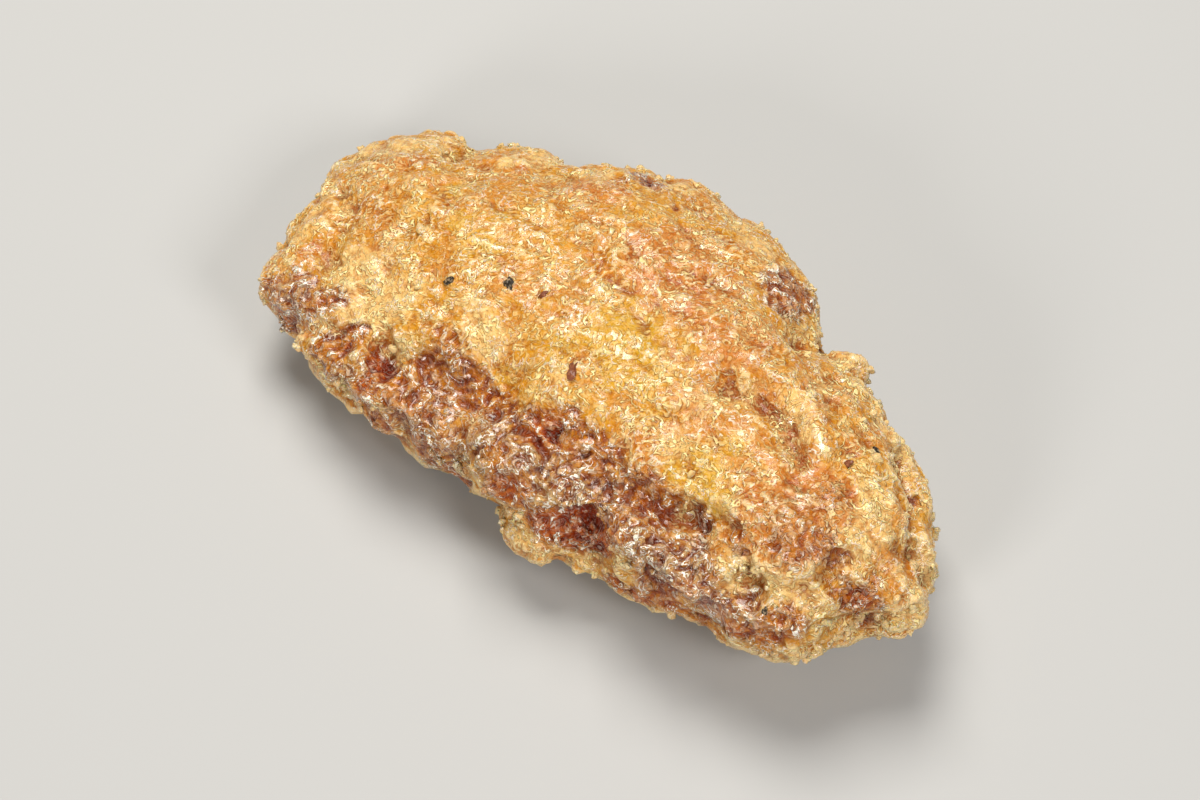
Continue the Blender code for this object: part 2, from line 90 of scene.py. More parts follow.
# Spots on the skin by what they do to it: place and radius in millimetres, and strength.
SPOTS = {
    "yellow": (
        (-27.5, -18.5, 12.1, 2.3, 0.8), (17.0, -10.7, 20.1, 2.3, 0.8), (20.6, -13.2, 20.4, 2.1, 0.8),
        (15.7, -12.4, 19.7, 1.9, 0.8), (2.9, -1.2, 21.6, 2.9, 0.8), (2.0, -4.7, 21.6, 2.3, 0.7),
        (-0.9, -3.2, 21.7, 2.3, 0.7), (1.1, 2.3, 21.6, 2.0, 0.6), (3.5, -7.4, 21.1, 2.0, 0.7),
        (-3.0, -7.6, 20.5, 2.0, 0.6), (6.5, -5.6, 21.5, 2.3, 0.7), (8.7, -0.3, 22.6, 2.0, 0.5),
        (-25.9, 4.3, 18.0, 2.0, 0.5), (-18.3, -1.3, 20.1, 2.6, 0.5), (-22.3, 0.5, 19.8, 1.9, 0.5),
        (-27.5, -18.5, 12.1, 1.7, 0.8), (-7.1, -12.2, 16.7, 2.0, 0.5), (41.4, -10.8, 10.7, 1.7, 0.8),
        (36.8, -17.1, 9.9, 1.3, 0.5), (10.3, -9.2, 20.8, 2.0, 0.6), (18.7, -6.7, 21.3, 1.9, 0.5),
        (-7.9, -3.5, 20.9, 2.0, 0.4), (-18.9, 3.3, 20.0, 2.0, 0.3), (14.7, 0.2, 22.5, 1.7, 0.4),
        (32.8, 5.0, 15.7, 1.1, 0.4),
    ),
    "pale": (
        (-27.8, -9.0, 16.5, 2.6, 1), (-27.8, -11.2, 15.6, 2.1, 1), (-24.3, -12.2, 15.9, 1.9, 1),
        (-30.6, -9.0, 15.7, 2.1, 0.8), (-22.5, -10.9, 17.0, 1.7, 0.8), (-21.9, -8.4, 17.8, 2.0, 0.5),
        (-27.0, -13.8, 14.8, 1.7, 0.8), (-12.8, -8.9, 19.0, 2.3, 0.6), (-10.2, -10.2, 18.4, 2.0, 0.6),
        (-15.2, -7.4, 19.4, 1.7, 0.5), (-40.2, 6.3, 11.8, 1.7, 0.8), (-36.4, 7.7, 14.4, 2.0, 0.9),
        (-33.5, 10.9, 13.4, 2.0, 1), (-41.8, 3.5, 11.2, 1.3, 0.8), (-40.3, -0.9, 12.4, 1.4, 0.8),
        (-39.7, -4.6, 12.8, 1.4, 0.8), (-38.4, -8.4, 13.3, 1.3, 0.6), (-36.5, -2.5, 13.8, 1.7, 0.5),
        (-36.9, -6.2, 14.5, 1.1, 0.6), (-24.0, 11.7, 16.9, 1.3, 0.8), (-22.4, 13.7, 15.9, 1.6, 1),
        (-21.2, 15.5, 15.2, 1.4, 1), (-20.4, 17.0, 13.2, 1.3, 0.9), (-15.3, 15.3, 17.4, 1.3, 0.8),
        (-13.7, 16.0, 17.9, 1.1, 0.8), (-6.0, 20.0, 16.7, 1.3, 1), (-5.5, 20.7, 16.4, 1.1, 1),
        (2.4, 19.2, 16.8, 1.4, 0.9), (5.2, 17.1, 18.4, 1.4, 0.9), (7.3, 17.7, 17.9, 1.1, 0.8),
        (0.0, 20.8, 15.7, 1.1, 0.7), (8.8, 10.2, 20.8, 1.3, 0.7), (15.7, 10.8, 17.4, 1.4, 0.7),
        (16.6, 6.8, 20.4, 1.3, 0.7), (22.4, -0.0, 21.9, 1.3, 1), (23.6, -1.8, 20.9, 1.6, 1),
        (21.4, 1.0, 22.0, 1.1, 0.9), (16.3, -1.2, 21.2, 1.7, 0.5), (22.5, 10.8, 16.2, 1.3, 1),
        (24.8, 8.8, 18.1, 1.3, 1), (21.0, 10.1, 17.0, 1.1, 0.8), (21.8, 11.7, 16.9, 1.0, 0.9),
        (28.2, 7.2, 17.2, 1.4, 0.9), (30.4, 5.5, 17.5, 1.4, 1), (32.1, 5.6, 15.6, 1.6, 1),
        (33.8, 4.8, 15.6, 1.3, 1), (34.0, 1.1, 18.7, 1.4, 0.8), (33.3, -3.4, 20.3, 1.6, 0.9),
        (35.0, -4.0, 19.9, 1.4, 0.9), (34.9, 2.3, 15.3, 1.1, 0.6), (40.5, -3.6, 13.5, 1.1, 0.8),
        (43.1, -8.4, 14.4, 1.6, 0.9), (39.7, -1.7, 14.2, 1.3, 0.8), (42.0, -3.7, 12.0, 1.1, 0.9),
        (43.4, -9.0, 11.2, 1.3, 0.7), (35.9, -8.2, 19.4, 1.6, 0.7), (34.1, -6.9, 20.2, 1.4, 0.7),
        (35.4, -10.3, 18.9, 1.3, 0.8), (37.0, -6.1, 18.9, 1.4, 0.6), (32.6, -16.3, 17.9, 1.9, 0.9),
        (31.1, -16.8, 18.6, 1.6, 0.7), (34.5, -16.0, 16.7, 1.3, 0.7), (36.2, -15.8, 16.1, 1.1, 0.5),
        (13.1, -5.0, 21.9, 2.3, 0.6), (13.0, -10.4, 20.5, 2.1, 0.6), (7.3, -3.6, 22.2, 1.7, 0.5),
        (21.5, -13.7, 20.4, 1.4, 0.5), (-1.4, -9.9, 20.5, 1.3, 0.6), (-20.0, -14.9, 13.5, 1.1, 1),
        (-19.6, -14.2, 15.1, 1.0, 0.9), (-22.6, -17.5, 13.7, 0.9, 0.6), (8.8, -15.3, 16.7, 0.9, 0.9),
        (3.5, -20.2, 14.5, 1.6, 0.5), (-10.8, -17.3, 13.9, 1.7, 0.5), (6.3, -22.8, 8.6, 1.4, 0.9),
        (10.6, -21.5, 8.6, 1.3, 0.9), (9.2, -21.8, 8.8, 1.1, 0.7), (-13.0, -19.0, 13.1, 1.3, 0.4),
        (28.5, -16.5, 17.7, 1.1, 0.6), (26.3, -17.8, 16.6, 1.3, 0.5), (40.0, -7.7, 16.8, 1.4, 0.5),
        (-35.8, -14.4, 13.3, 1.4, 0.5), (-31.9, -15.8, 13.1, 1.3, 0.4), (26.8, -16.7, 16.9, 2.3, 0.9),
        (42.2, -9.6, 13.1, 2.0, 0.8), (-30.0, -15.9, 13.5, 1.1, 0.7), (1.9, -23.0, 8.4, 1.4, 0.8),
        (5.5, -19.7, 15.2, 1.9, 0.4), (4.4, -23.5, 9.6, 1.7, 0.4), (18.9, -0.3, 21.3, 2.0, 0.4),
        (-13.0, 14.0, 19.2, 1.7, 0.5), (5.5, -19.7, 15.2, 1.7, 0.3),
    ),
    "orange": (
        (28.8, -11.8, 22.0, 4.3, 0.5), (30.2, -13.9, 21.3, 2.9, 0.5), (25.6, -12.5, 21.8, 2.9, 0.4),
        (-26.7, -18.1, 12.7, 2.3, 0.5), (3.5, 5.5, 21.6, 3.4, 0.7), (5.7, 10.0, 20.9, 2.9, 0.8),
        (6.8, 6.7, 21.7, 2.0, 0.8), (1.2, 13.2, 20.0, 2.6, 0.7), (-1.2, 17.5, 17.7, 1.1, 1),
        (2.8, 14.3, 19.7, 1.4, 1), (-1.5, 7.4, 21.6, 3.1, 0.5), (21.2, -1.6, 20.4, 1.3, 1),
        (22.4, -2.4, 20.2, 1.0, 0.8), (28.6, -5.8, 21.5, 1.3, 1), (27.4, -4.9, 21.5, 1.1, 0.8),
        (30.5, -6.0, 21.3, 1.1, 0.7), (25.7, -3.8, 21.0, 1.3, 0.6), (12.5, 1.6, 23.0, 1.9, 0.4),
        (-11.7, 12.1, 20.0, 3.1, 0.5), (-14.9, 11.9, 19.0, 2.0, 0.4), (-10.4, 14.2, 19.4, 1.7, 0.7),
        (-33.4, 5.7, 16.2, 1.9, 0.7), (-31.2, 7.0, 16.5, 1.4, 0.6), (-35.2, 3.7, 15.9, 1.4, 0.6),
        (-36.5, 0.8, 15.1, 1.4, 0.6), (-21.7, 11.2, 17.3, 0.9, 0.8), (29.4, -0.2, 20.6, 1.1, 0.7),
        (16.9, 9.0, 16.7, 1.6, 0.5), (21.7, 3.5, 21.3, 1.3, 0.6), (24.3, 6.3, 19.3, 1.1, 0.8),
        (-36.6, -10.6, 13.8, 1.3, 0.7), (-36.2, -8.4, 13.8, 1.0, 0.6), (-13.5, 1.8, 20.2, 1.6, 0.4),
        (-28.2, -2.9, 17.6, 1.3, 0.5), (-6.0, 7.8, 21.3, 1.7, 0.4), (-9.8, 7.6, 21.1, 1.4, 0.3),
        (13.5, 5.8, 22.0, 1.7, 0.4), (26.6, -11.2, 22.0, 2.0, 0.5), (30.2, -10.2, 22.0, 1.7, 0.5),
        (32.7, -9.2, 21.0, 1.3, 0.5), (27.4, -15.0, 20.0, 1.7, 0.4), (-22.3, -13.7, 14.2, 1.4, 0.4),
        (-15.9, -11.9, 17.5, 1.7, 0.4), (-8.8, -14.5, 15.1, 1.1, 0.5), (-0.1, 3.1, 21.5, 1.1, 0.4),
        (24.9, -14.1, 20.3, 1.4, 0.5), (-38.7, 0.3, 13.4, 1.1, 0.5), (41.9, -9.4, 15.0, 1.7, 0.5),
        (19.4, -1.1, 20.9, 1.1, 0.6), (18.0, -0.2, 21.4, 1.0, 0.5), (-0.8, 8.9, 21.5, 2.6, 0.6),
        (-0.2, 5.2, 21.7, 2.1, 0.5), (6.1, 5.4, 22.0, 5.4, 0.5), (13.1, 2.6, 22.8, 4.0, 0.5),
        (13.1, -5.0, 21.9, 4.0, 0.4), (5.3, -23.2, 9.3, 1.6, 0.4), (28.3, -10.1, 22.1, 4.9, 0.8),
        (38.7, -7.7, 17.6, 2.3, 0.5), (10.1, -11.7, 20.0, 3.4, 0.45), (30.8, -6.2, 21.2, 2.0, 0.8),
        (13.5, 5.8, 22.0, 2.9, 0.4), (-2.6, 11.5, 20.9, 3.1, 0.4),
    ),
    "burnt": (
        (11.9, 13.4, 19.2, 3.1, 0.5), (-8.8, -20.3, 9.4, 3.1, 0.4), (19.3, -21.1, 11.0, 2.9, 0.5),
        (11.2, 15.6, 18.6, 1.7, 0.8), (13.1, 14.9, 18.2, 1.9, 1), (13.6, 11.9, 19.2, 1.7, 0.7),
        (12.0, 11.0, 20.2, 1.4, 0.5), (14.8, 14.3, 17.4, 1.1, 0.7), (9.4, 13.2, 19.9, 1.3, 0.4),
        (-10.5, 18.3, 17.0, 1.4, 0.9), (-8.8, 18.1, 17.4, 1.4, 0.8), (-7.7, 18.2, 17.6, 1.3, 0.7),
        (-11.4, 16.1, 18.4, 1.1, 0.5), (-4.1, 16.0, 19.0, 1.0, 0.6), (-29.8, -13.6, 14.5, 1.4, 0.5),
        (-28.7, -13.2, 14.9, 1.0, 0.5), (-37.5, -15.0, 12.6, 1.1, 0.5), (-11.4, -20.7, 6.3, 2.0, 0.8),
        (-7.9, -20.0, 6.5, 1.9, 0.9), (-12.9, -21.1, 9.6, 1.4, 0.7), (-1.7, -22.5, 14.0, 1.4, 0.9),
        (-17.7, -21.0, 9.4, 1.4, 0.5), (-20.8, -21.2, 11.4, 1.3, 0.5), (1.3, -21.2, 13.9, 1.3, 0.6),
        (24.3, -21.2, 13.8, 2.0, 0.8), (22.1, -21.7, 14.4, 1.7, 0.8), (26.7, -20.9, 12.8, 1.7, 0.7),
        (18.0, -21.0, 11.6, 1.7, 0.7), (16.6, -21.0, 14.5, 1.4, 0.5), (5.0, -18.8, 16.2, 1.3, 0.5),
        (-16.2, -20.0, 7.1, 1.4, 0.6), (32.7, -12.0, 21.0, 1.4, 0.4), (31.8, -14.3, 20.3, 1.4, 0.4),
        (36.0, -12.1, 17.6, 1.1, 0.5), (32.8, -20.7, 10.5, 1.4, 0.5), (-9.3, -20.4, 12.2, 1.4, 0.4),
        (-34.8, -12.8, 14.2, 1.4, 0.4), (24.0, 3.5, 20.7, 1.3, 0.4), (32.3, -0.8, 20.2, 1.0, 0.4),
        (-34.2, -15.5, 13.0, 3.4, 0.3), (-35.9, -16.0, 12.3, 2.0, 0.3), (-34.7, -16.2, 9.0, 1.7, 0.4),
    ),
    "wet": (
        (-12.0, -19.3, 13.5, 4.3, 0.5), (-4.4, -19.5, 15.7, 4.3, 0.5), (2.0, -19.4, 15.6, 4.3, 0.5),
        (8.4, -19.3, 15.4, 4.3, 0.5), (15.3, -20.1, 17.2, 4.3, 0.5), (21.6, -20.1, 16.2, 4.3, 0.55),
        (-17.6, -20.1, 13.4, 3.7, 0.5), (-23.7, -19.3, 12.6, 2.9, 0.4), (1.5, -17.7, 16.7, 2.1, 0.9),
        (-1.3, -17.4, 16.6, 1.9, 0.7), (3.6, -16.8, 17.2, 1.7, 0.8), (-4.0, -17.4, 16.2, 1.6, 0.6),
        (9.0, -17.3, 16.1, 2.1, 0.8), (7.0, -19.8, 15.3, 1.7, 0.7), (11.4, -16.7, 16.4, 1.4, 0.6),
        (20.6, -19.6, 16.6, 2.4, 1), (18.9, -20.4, 16.0, 1.7, 0.9), (16.2, -20.3, 17.1, 1.9, 0.8),
        (8.0, -15.6, 16.7, 1.4, 0.4), (29.1, -20.1, 15.2, 1.9, 0.8), (-21.0, -17.9, 13.1, 1.4, 0.7),
        (-12.1, -16.5, 13.8, 1.7, 0.5), (-22.9, -20.2, 12.4, 1.4, 0.6), (-25.4, -19.8, 11.0, 1.1, 0.6),
        (-6.4, -19.5, 14.7, 1.9, 0.5), (-11.5, -20.0, 13.2, 1.4, 0.5), (-32.6, -13.9, 14.1, 1.3, 0.4),
        (-3.9, -21.2, 15.4, 1.7, 0.5), (21.4, -17.0, 16.8, 1.4, 0.4), (29.4, -18.7, 15.9, 1.1, 0.4),
        (-14.9, -20.1, 11.8, 1.7, 0.5), (13.3, -20.0, 17.1, 1.4, 0.4), (41.9, -9.4, 15.0, 1.0, 0.3),
        (-33.7, -15.3, 13.3, 4.3, 0.6), (23.1, -19.5, 16.4, 1.9, 0.7), (28.4, -20.8, 14.2, 3.1, 0.45),
        (5.3, -23.2, 9.3, 1.7, 0.45), (-13.0, 14.0, 19.2, 1.7, 0.3),
    ),
    # Amber spots: oil gathered in the folds, and partly painted shade along the crease between the crown
    # and the flank.
    "amber": (
        (-26.1, -17.0, 13.0, 1.7, 1), (-25.3, -15.7, 13.9, 1.4, 1), (-16.5, -18.2, 14.4, 2.0, 0.9),
        (-15.1, -14.0, 14.9, 2.0, 0.9), (-12.3, -14.3, 14.8, 2.4, 1), (-9.7, -14.2, 15.3, 2.0, 0.9),
        (-6.1, -14.5, 15.7, 1.9, 0.9), (3.1, -13.6, 18.8, 1.7, 0.9), (4.9, -14.3, 18.2, 1.7, 1),
        (7.1, -14.6, 17.6, 1.7, 1), (12.7, -15.4, 18.0, 2.0, 1), (14.6, -15.3, 16.9, 1.9, 0.9),
        (15.4, -18.3, 16.7, 1.6, 0.6), (25.2, -15.4, 19.2, 1.3, 0.8), (20.1, -14.5, 17.3, 1.3, 0.7),
        (29.4, -14.5, 20.9, 1.6, 0.6), (33.9, -19.1, 16.1, 2.1, 0.9), (-18.1, -21.5, 9.0, 1.6, 0.7),
        (-14.2, -19.2, 13.3, 1.6, 0.7), (-11.9, -20.7, 9.8, 1.6, 0.7), (-31.4, -14.7, 14.0, 1.3, 0.8),
        (-15.9, -11.9, 17.5, 2.3, 0.4), (-13.1, -12.2, 17.4, 2.3, 0.4), (-12.2, -14.3, 14.9, 2.1, 0.9),
        (-9.5, -14.3, 15.2, 1.9, 0.9), (-15.7, -14.0, 14.8, 1.7, 0.6), (-5.9, -14.6, 15.8, 1.6, 0.9),
        (-1.6, -15.0, 17.2, 1.7, 0.9), (0.5, -15.2, 17.5, 1.9, 1), (2.1, -14.6, 18.2, 1.7, 1),
        (4.5, -14.4, 18.1, 1.7, 0.9), (7.1, -14.5, 17.7, 1.7, 0.8), (10.7, -15.1, 17.8, 1.4, 0.6),
        (13.9, -15.2, 18.6, 1.4, 0.7), (-16.4, -18.6, 14.4, 2.0, 0.8), (-18.3, -18.8, 13.7, 1.4, 0.7),
        (-26.0, -17.0, 13.0, 1.4, 0.8), (-24.8, -14.8, 14.1, 1.1, 0.7), (25.5, -15.7, 18.9, 1.1, 0.7),
        (35.8, -14.4, 17.0, 1.1, 0.6), (15.8, -16.0, 15.9, 1.4, 0.5), (12.3, -18.2, 16.4, 1.6, 0.5),
        (19.6, -14.4, 17.2, 1.1, 0.5), (-16.4, -15.9, 14.2, 1.7, 0.6), (-26.6, -19.3, 11.4, 1.3, 0.5),
        (26.5, -20.5, 10.0, 1.1, 0.6), (34.0, -19.1, 16.0, 1.7, 0.7), (32.3, -20.1, 14.6, 1.3, 0.6),
        (4.3, -18.0, 16.8, 1.1, 0.4), (-30.9, -14.2, 14.3, 1.0, 0.8), (17.1, -14.5, 18.3, 1.1, 0.4),
        (35.5, -10.5, 18.6, 0.9, 0.4), (-27.5, -18.5, 12.1, 2.0, 0.9), (38.5, -12.3, 15.0, 2.0, 0.8),
        (34.4, -11.7, 19.2, 1.7, 0.5), (-2.8, -19.4, 16.5, 2.0, 0.6), (-11.3, -18.5, 14.0, 1.9, 0.5),
        (28.9, -12.0, 21.9, 4.3, 0.35), (18.9, -0.3, 21.3, 2.0, 0.35), (10.1, -11.7, 20.0, 3.4, 0.25),
        (16.7, -10.2, 20.2, 2.9, 0.2), (-0.5, 7.5, 21.4, 4.0, 0.3), (11.9, 3.4, 22.8, 3.4, 0.25),
        (38.7, -7.7, 17.6, 2.3, 0.2), (29.3, -10.8, 22.1, 4.0, 0.3), (30.8, -6.2, 21.2, 1.7, 0.5),
        (32.8, -11.3, 21.1, 2.0, 0.4),
    ),
    # Dark spots: dark red fried skin, and partly painted shade in the recesses at the end and along the
    # lower rim under the flank.
    "dark": (
        (-20.1, -16.8, 12.8, 1.6, 1), (-22.1, -16.5, 13.4, 1.1, 0.8), (-20.6, -20.0, 13.0, 1.3, 0.8),
        (-34.6, -16.0, 9.3, 1.1, 0.8), (-8.5, -20.1, 5.9, 1.4, 0.8), (6.0, -20.6, 11.4, 1.9, 1),
        (8.1, -20.4, 11.3, 2.3, 1), (11.2, -20.5, 11.8, 1.9, 1), (9.1, -19.0, 12.5, 1.7, 0.9),
        (4.3, -21.6, 11.4, 1.4, 0.8), (12.7, -20.5, 16.0, 1.4, 0.8), (12.7, -15.4, 18.0, 1.1, 0.6),
        (19.9, -21.1, 11.1, 1.4, 0.6), (23.8, -20.2, 9.4, 1.7, 0.7), (3.8, -21.9, 11.3, 1.4, 0.8),
        (6.5, -21.1, 10.8, 1.7, 1), (9.0, -20.0, 11.7, 1.9, 1), (11.2, -20.3, 12.0, 1.6, 0.9),
        (1.0, -15.6, 17.1, 1.3, 0.5), (14.0, -21.9, 7.1, 2.0, 0.9), (17.2, -21.5, 7.5, 1.9, 1),
        (20.7, -21.0, 8.8, 1.7, 0.8), (28.5, -21.6, 12.2, 1.3, 0.7), (32.6, -20.5, 13.2, 1.3, 0.7),
        (33.8, -18.9, 16.2, 1.1, 0.6), (-26.0, -15.0, 13.9, 0.7, 0.9), (-20.1, -16.8, 12.8, 1.1, 1),
        (-25.3, -16.7, 13.5, 0.9, 0.7), (-31.3, -14.7, 14.0, 0.7, 0.8), (7.3, -19.6, 12.6, 1.3, 0.6),
        (36.7, 0.8, 15.0, 0.9, 0.7), (38.0, -3.0, 17.5, 0.7, 0.6), (16.8, 13.7, 12.4, 1.0, 0.6),
        (-27.2, -16.6, 12.5, 0.7, 0.6), (38.7, -11.2, 8.7, 1.3, 0.7), (23.8, -20.1, 7.0, 1.3, 0.6),
        (-0.7, -21.8, 15.0, 1.4, 0.6), (0.2, -22.3, 12.6, 1.4, 0.6), (-0.0, -22.1, 13.8, 2.0, 0.9),
        (-0.4, -15.0, 17.5, 1.9, 0.7), (1.2, -15.2, 17.6, 1.9, 0.7), (30.6, -21.3, 12.8, 1.7, 0.5),
        (37.9, -12.6, 15.6, 2.0, 0.6), (39.1, -11.6, 15.3, 1.6, 0.5), (37.4, -12.9, 15.6, 1.1, 0.5),
        (40.0, -10.6, 11.3, 1.4, 0.4), (37.9, -10.4, 17.4, 1.1, 0.3), (-2.3, -19.7, 16.6, 1.4, 0.35),
        (29.0, -21.6, 12.6, 1.7, 0.5), (12.5, 14.6, 18.6, 2.3, 0.3),
    ),
}

# Flecks of cracked pepper: place from above, half length and half width in millimetres, turn in
# degrees, and colour.
PEPPER = (
    ((-18.6, -6.6), 0.72, 0.52, 70, "black"),
    ((-12.5, -3.9), 0.78, 0.56, -20, "black"),
    ((-8.5, -3.0), 0.78, 0.38, 90, "brown"),
    ((-0.2, -9.2), 1.10, 0.74, -25, "brown"),
    ((29.9, -2.1), 0.55, 0.42, -40, "brown"),
    ((31.2, 1.4), 0.65, 0.22, 40, "black"),
    ((31.0, -19.2), 0.50, 0.34, -70, "black"),
)

# A spot covers the skin fully inside its core and has faded out at its reach, in parts of its radius.
SPOT_CORE = 1 / 6
SPOT_REACH = 11 / 6

# Faces whose normal points down by more than this stay coarse.
OVERHANG = -0.12

# Crumbs lie above a height and stand off the crust by a share of their radius. The longest reach so
# many radii from their middle.
CRUMB_FLOOR = 1.5 * MM
CRUMB_STANDING = 0.15
CRUMB_REACH = 1.3

# The height from which the pepper is let down onto the crust.
ABOVE_ALL = 0.1

# Colours that lie over or between the main ones.
SOAKED_BATTER = (0.44, 0.235, 0.075, 1.0)
# Painted shade, laid over the colour in the hollows, the pits and the gaps between clots of batter.
HOLLOW_SHADE = (0.54, 0.28, 0.10, 1.0)
PIT_SHADE = (0.64, 0.36, 0.14, 1.0)
GAP_SHADE = (0.50, 0.24, 0.08, 1.0)
# Painted shade in the grooves beside the strokes.
RIM_SHADE = (0.58, 0.33, 0.11, 1.0)
MILKY_BATTER = (0.84, 0.58, 0.20, 1.0)
# Pale batter strokes with a painted highlight on them, and whiter painted glints on the wet flank.
PALE_STROKE_AND_GLINT = (1.0, 0.83, 0.38, 1.0)
WET_STROKE_GLINT = (0.94, 0.78, 0.60, 1.0)
# Painted glints in clusters on the crests.
CREST_GLINT = (1.0, 0.90, 0.76, 1.0)
# Paler on the raised tops: pale batter, and partly a painted highlight.
RAISED_TOP_AND_HIGHLIGHT = (0.96, 0.79, 0.42, 1.0)
# Pepper: its own colour, and the paler colour of the glints painted on it.
BLACK_PEPPER = ((0.020, 0.014, 0.009, 1.0), (0.36, 0.27, 0.16, 1.0))
BROWN_PEPPER = ((0.17, 0.045, 0.016, 1.0), (0.28, 0.10, 0.04, 1.0))
FLOOR_CLOUDS = (0.38, 0.38, 0.37, 1.0)

# The place on the wing that the camera aims at, and the lights: name, place, size, power and tint.
AIM_MM = (0.07, -4.64, 9.37)
LIGHTS = (
    ("key_light", (-0.20, 0.18, 0.52), 0.30, 4.05, (1.0, 0.97, 0.92)),
    ("near_light", (0.02, -0.50, 0.24), 0.14, 1.5, (1.0, 0.97, 0.95)),
    ("side_light", (0.42, -0.08, 0.38), 0.18, 1.6, (1.0, 0.98, 0.97)),
)
ROOM_COLOUR = (1.0, 0.98, 0.96, 1.0)
ROOM_STRENGTH = 0.12


class WingSizes(bpy.types.PropertyGroup):
    grid: bpy.props.FloatProperty(
        name="Crust Grid",
        description="Edge length of the crust's mesh before its shown side is made three times as fine",
        default=0.82 * MM,
        min=0.2 * MM,
        unit="LENGTH",
        precision=5,
    )
    shown_from: bpy.props.FloatProperty(
        name="Shown From",
        description="Height above which the crust is made finer",
        default=5.0 * MM,
        unit="LENGTH",
    )
    curd_height: bpy.props.FloatProperty(
        name="Curd Height",
        description="How far the rounded curds of batter stand out on the sides",
        default=0.60 * MM,
        unit="LENGTH",
    )
    fold_height: bpy.props.FloatProperty(
        name="Fold Height",
        description="How far the long folds of skin on the top stand out",
        default=0.21 * MM,
        unit="LENGTH",
    )
    fold_spacing: bpy.props.FloatProperty(
        name="Fold Spacing",
        description="Distance from one fold of skin to the next",
        default=3.6 * MM,
        unit="LENGTH",
    )
    wrinkle_height: bpy.props.FloatProperty(
        name="Wrinkle Height",
        description="How far the worm-like wrinkles stand out",
        default=0.22 * MM,
        unit="LENGTH",
    )
    lump_height: bpy.props.FloatProperty(
        name="Lump Height",
        description="How far the lumps of batter on the sides stand out",
        default=1.3 * MM,
        unit="LENGTH",
    )
    flesh_height: bpy.props.FloatProperty(
        name="Flesh Height",
        description="How far the bare skin of the flank stands out and falls in",
        default=0.6 * MM,
        unit="LENGTH",
    )
    swell_height: bpy.props.FloatProperty(
        name="Swell Height",
        description="How far the soft swells all over stand out",
        default=0.35 * MM,
        unit="LENGTH",
    )
    grain_height: bpy.props.FloatProperty(
        name="Grain Height",
        description="How far the finest grain stands out",
        default=0.14 * MM,
        unit="LENGTH",
        precision=5,
    )
    crumb_count: bpy.props.IntProperty(
        name="Crumbs",
        description="Loose-looking crumbs fried onto the rims and the flank",
        default=520,
        min=0,
    )
    crumb_size: bpy.props.FloatProperty(
        name="Crumb Size",
        description="Radius of the biggest crumbs",
        default=0.62 * MM,
        unit="LENGTH",
    )


class WingColours(bpy.types.PropertyGroup):
    golden: bpy.props.FloatVectorProperty(
        name="Golden Skin",
        description="The main colour of the crown",
        subtype="COLOR",
        size=4,
        default=(0.56, 0.242, 0.009, 1.0),
    )
    pale: bpy.props.FloatVectorProperty(
        name="Pale Batter",
        description="Thick batter on the rims and crumbs",
        subtype="COLOR",
        size=4,
        default=(0.75, 0.475, 0.165, 1.0),
    )
    orange: bpy.props.FloatVectorProperty(
        name="Orange Skin",
        description="Skin fried further, with little batter",
        subtype="COLOR",
        size=4,
        default=(0.50, 0.150, 0.016, 1.0),
    )
    burnt: bpy.props.FloatVectorProperty(
        name="Burnt Crust",
        description="The browned bumps and rims",
        subtype="COLOR",
        size=4,
        default=(0.44, 0.170, 0.050, 1.0),
    )
    wet: bpy.props.FloatVectorProperty(
        name="Wet Flank",
        description="Bare skin along the near side, soaked in oil",
        subtype="COLOR",
        size=4,
        default=(0.31, 0.105, 0.011, 1.0),
    )
    # Dark red fried skin, and partly painted shade in the deepest hollows and recesses.
    dark: bpy.props.FloatVectorProperty(
        name="Dark Hollow",
        description="The deepest and reddest hollows",
        subtype="COLOR",
        size=4,
        default=(0.42, 0.070, 0.003, 1.0),
    )
    # Oil in the folds, and partly painted shade along the creases.
    amber: bpy.props.FloatVectorProperty(
        name="Amber Fold",
        description="Oil gathered in the folds",
        subtype="COLOR",
        size=4,
        default=(0.46, 0.155, 0.008, 1.0),
    )
    yellow: bpy.props.FloatVectorProperty(
        name="Yellow Fat",
        description="Clear yellow fat under the skin",
        subtype="COLOR",
        size=4,
        default=(0.58, 0.315, 0.010, 1.0),
    )


class WingStage(bpy.types.PropertyGroup):
    azimuth: bpy.props.FloatProperty(
        name="Azimuth",
        description="Camera's turn round the wing",
        default=math.radians(35),
        subtype="ANGLE",
    )
    elevation: bpy.props.FloatProperty(
        name="Elevation",
        description="Camera's height angle",
        default=math.radians(58),
        subtype="ANGLE",
    )
    distance: bpy.props.FloatProperty(
        name="Distance",
        description="From the camera to what it aims at",
        default=0.325,
        unit="LENGTH",
    )
    lens: bpy.props.FloatProperty(
        name="Lens", description="Focal length in millimetres", default=88.7, min=1.0
    )
    floor_colour: bpy.props.FloatVectorProperty(
        name="Floor",
        description="Colour of the floor",
        subtype="COLOR",
        size=4,
        default=(0.43, 0.43, 0.42, 1.0),
    )


# Making


def pick_only(obj):
    bpy.ops.object.select_all(action="DESELECT")
    obj.select_set(True)
    bpy.context.view_layer.objects.active = obj


def copy_of_solid(name):
    """A copy of the solid as a piece of its own, its loose triangles merged into one skin."""
    pick_only(frame["nodes"]["chicken_wing"])
    bpy.ops.object.duplicate()
    piece = bpy.context.active_object
    bpy.ops.object.parent_clear(type="CLEAR_KEEP_TRANSFORM")
    piece.name = name
    piece.data.name = name
    for key in list(piece.keys()):
        del piece[key]
    piece.data.materials.clear()
    bpy.ops.object.mode_set(mode="EDIT")
    bpy.ops.mesh.select_all(action="SELECT")
    bpy.ops.mesh.remove_doubles(threshold=0.001 * MM)
    bpy.ops.object.mode_set(mode="OBJECT")
    return piece


